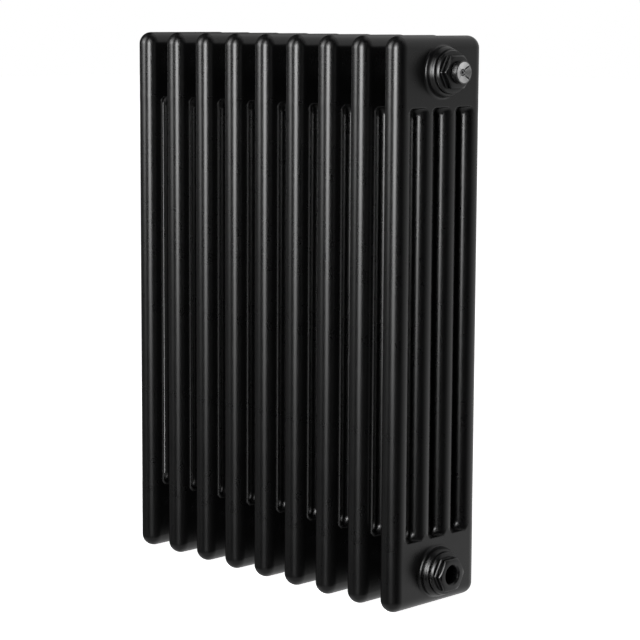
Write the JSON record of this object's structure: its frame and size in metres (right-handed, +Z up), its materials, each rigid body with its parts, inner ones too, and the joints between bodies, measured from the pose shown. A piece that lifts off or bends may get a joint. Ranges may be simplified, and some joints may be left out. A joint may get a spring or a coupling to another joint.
{
  "type": "column radiator",
  "caption": "Tall multi-column radiator with rounded heads, slim round tubes, hexagonal end bushes and a chromed air vent.",
  "frame": {"origin": "middle of the radiator's outline, level with the lowest points of the bottom heads", "axes": "+X along the radiator towards the end with the air vent, +Y towards the wall, +Z up"},
  "size_m": [0.4502, 0.1242, 0.57],
  "materials": {
    "black_paint": "satin black powder coat",
    "nipple_steel": "zinc-plated, turned",
    "flat_gasket": "matt",
    "o_ring": "matt",
    "chrome": "bright chrome over turned brass",
    "screw_chrome": "bright chrome",
    "seal_plastic": "turned, matt"
  },
  "bodies": {
    "radiator": {"top_head_1": "black_paint", "top_head_2": "black_paint", "top_head_3": "black_paint", "top_head_4": "black_paint", "top_head_5": "black_paint", "top_head_6": "black_paint", "top_head_7": "black_paint", "top_head_8": "black_paint", "top_head_9": "black_paint", "bottom_head_1": "black_paint", "bottom_head_2": "black_paint", "bottom_head_3": "black_paint", "bottom_head_4": "black_paint", "bottom_head_5": "black_paint", "bottom_head_6": "black_paint", "bottom_head_7": "black_paint", "bottom_head_8": "black_paint", "bottom_head_9": "black_paint", "tubes_1": "black_paint", "tubes_2": "black_paint", "tubes_3": "black_paint", "tubes_4": "black_paint", "tubes_5": "black_paint", "tubes_6": "black_paint", "tubes_7": "black_paint", "tubes_8": "black_paint", "tubes_9": "black_paint", "top_hub_sockets": "black_paint", "bottom_hub_sockets": "black_paint", "top_bush_near": "black_paint", "top_bush_far": "black_paint", "bottom_bush_near": "black_paint", "bottom_bush_far": "black_paint", "top_nipples": "nipple_steel", "bottom_nipples": "nipple_steel", "top_section_gaskets": "flat_gasket", "bottom_section_gaskets": "flat_gasket", "top_bush_gasket_near": "flat_gasket", "top_bush_gasket_far": "flat_gasket", "bottom_bush_gasket_near": "flat_gasket", "bottom_bush_gasket_far": "flat_gasket", "blanking_plug_o_ring": "o_ring", "vent_o_ring": "o_ring", "vent_body": "chrome", "blanking_plug": "chrome"},
    "bleed_travel": {"bleed_seal": "seal_plastic"},
    "bleed_turn": {"bleed_screw": "screw_chrome"}
  },
  "joints": [
    {"name": "bleed_screw_travel", "type": "slide", "parent": "radiator", "child": "bleed_travel", "axis": [1, 0, 0], "range_m": [0, 0.0015]},
    {"name": "bleed_screw_turn", "type": "hinge", "parent": "bleed_travel", "child": "bleed_turn", "pos_m": [0.22, 0, 0.535], "axis": [1, 0, 0], "range_deg": [0, 540]}
  ],
  "couplings": [
    {"joint": "bleed_screw_turn", "follows": "bleed_screw_travel", "rad_per_m": 6283.1}
  ]
}
